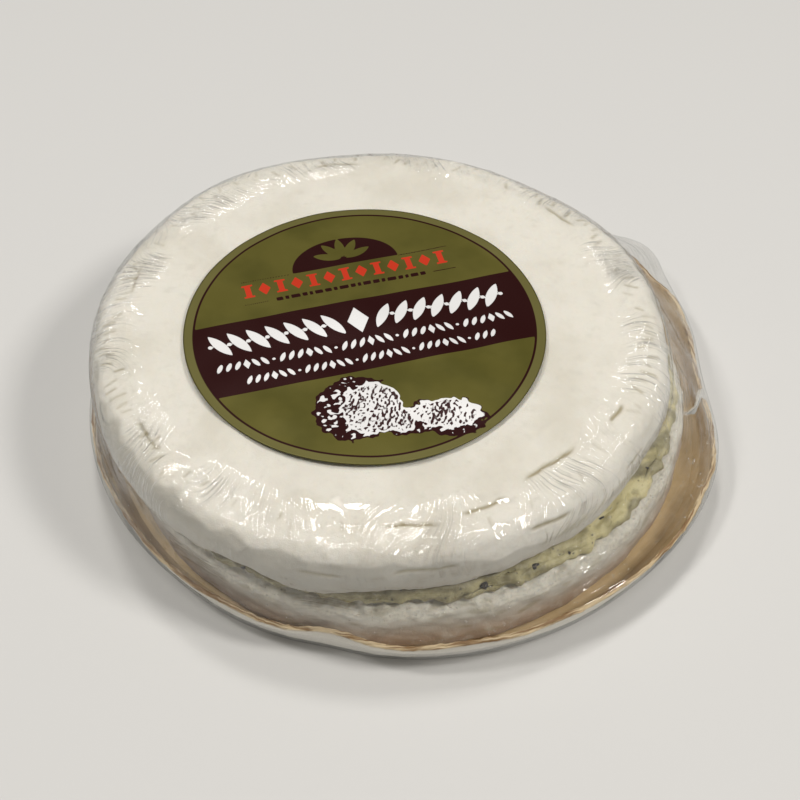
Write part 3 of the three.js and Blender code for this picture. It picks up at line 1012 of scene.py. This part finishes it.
def truffle_drawing(x, y):
    """A halved truffle, a chunk and a slice: knobbly skin, pale flesh and stippled veins."""
    flat = np.stack([x, y, 0 * x], -1)
    knobs = 0.3 * ripple(flat, 3.4, 91) + 0.2 * ripple(flat, 1.7, 92)
    skins = join(
        disc(x, y, -1.2, -26.0, 9.8, 9.6),
        disc(x, y, 8.6, -29.4, 4.2, 4.6),
        disc(x, y, 18.8, -28.0, 9.2, 5.4),
    )
    flesh = join(
        disc(x, y, 2.3, -25.8, 6.8, 8.0),
        disc(x, y, 8.8, -28.8, 3.2, 3.9),
        disc(x, y, 19.0, -26.9, 8.0, 4.3),
    )
    skin = skins + knobs
    pale = flesh + 0.7 * knobs
    warts = np.minimum(skin - 0.5, 0.3 * ripple(flat, 1.3, 93) - 0.2)
    stipple = 0.25 * ripple(flat, 0.9, 94) - 0.13
    furrows = 0.06 - 0.3 * abs(ripple(flat, 2.2, 95)) + 0.05 * ripple(flat, 5, 96)
    inside = np.minimum(pale - 0.5, join(stipple, furrows))
    return {"skin": skin, "flesh": join(pale, warts), "vein": inside}


def make_label(material):
    steps, rows = LABEL_STEPS, LABEL_ROWS
    share = np.linspace(0.004, 1, rows)
    angle = np.arange(steps) * TURN / steps
    x = LABEL_R * share[:, None] * np.cos(angle)
    y = LABEL_R * share[:, None] * np.sin(angle)
    flat = np.stack([x, y, 0 * x], 2)
    rest = LABEL_HIGH[2] - LABEL_THICK
    rise = 0.09 * ripple(flat, 34, 101) + 0.05 * ripple(flat, 13, 102)
    rise += 0.25 * hump(np.degrees(angle), 42, 9)[None, :] * smooth(share, 0.9, 1.0)[:, None]
    rise = np.clip(rise, -0.18, None)
    top = np.stack([x + LABEL_MIDDLE[0], y + LABEL_MIDDLE[1], rest + rise], 2)
    under_rows = top[::3].copy()
    under_rows[:, :, 2] -= LABEL_THICK
    grid = np.concatenate([under_rows, top[::-1]])
    inks = label_inks(x, y)
    off = {key: np.full(under_rows.shape[:2], -1.0) for key in inks}
    values = {key: np.concatenate([off[key], ink[::-1]]) for key, ink in inks.items()}
    mesh = ring_mesh("label_print", grid, values)
    piece = finish_piece(mesh, "label_print", ["label"], material)
    return piece


# ---- floor and light ----------------------------------------------------------------------


def make_floor():
    mesh = bpy.data.meshes.new("floor")
    half = 2.0
    corners = [(-half, -half, 0), (half, -half, 0), (half, half, 0), (-half, half, 0)]
    mesh.from_pydata(corners, [], [(0, 1, 2, 3)])
    floor = bpy.data.objects.new("floor", mesh)
    bpy.context.scene.collection.objects.link(floor)
    s = Shader("floor")
    s.principled(Base_Color=(0.60, 0.595, 0.58, 1), Roughness=0.8)
    mesh.materials.append(s.material)


def make_light(name, place, side, power):
    data = bpy.data.lights.new(name, "AREA")
    data.shape = "RECTANGLE"
    data.size, data.size_y = side, side
    data.energy = power
    data.color = LAMP_COLOUR
    light = bpy.data.objects.new(name, data)
    light.location = place
    light.rotation_euler = (-Vector(place)).to_track_quat("-Z", "Y").to_euler()
    bpy.context.scene.collection.objects.link(light)


# Small soft lamps as in a shop's ceiling: name, place in metres, side in metres, power in watts.
LAMPS = [
    ("lamp_right", (0.75, -0.25, 0.95), 0.24, 7.0),
    ("lamp_back", (-0.10, 0.45, 1.15), 0.18, 4.4),
    ("lamp_front", (0.05, -0.40, 1.20), 0.10, 1.1),
    ("lamp_left", (-0.60, -0.10, 1.00), 0.14, 4.2),
]
LAMP_COLOUR = (1.0, 0.975, 0.94)


def light_scene():
    world = bpy.data.worlds.new("studio")
    world.use_nodes = True
    background = world.node_tree.nodes["Background"]
    background.inputs["Color"].default_value = (1.0, 0.985, 0.96, 1)
    background.inputs["Strength"].default_value = 0.22
    bpy.context.scene.world = world
    for name, place, side, power in LAMPS:
        make_light(name, place, side, power)
    bpy.context.scene.view_settings.view_transform = "Standard"


# ---- assembly -----------------------------------------------------------------------------

rind = rind_material()
make_tray(board_material())
make_lower_cheese(rind)
make_cream(cream_material())
make_shards(truffle_material())
make_upper_cheese(rind)
make_film(film_material())
make_label(label_material())
make_floor()
light_scene()
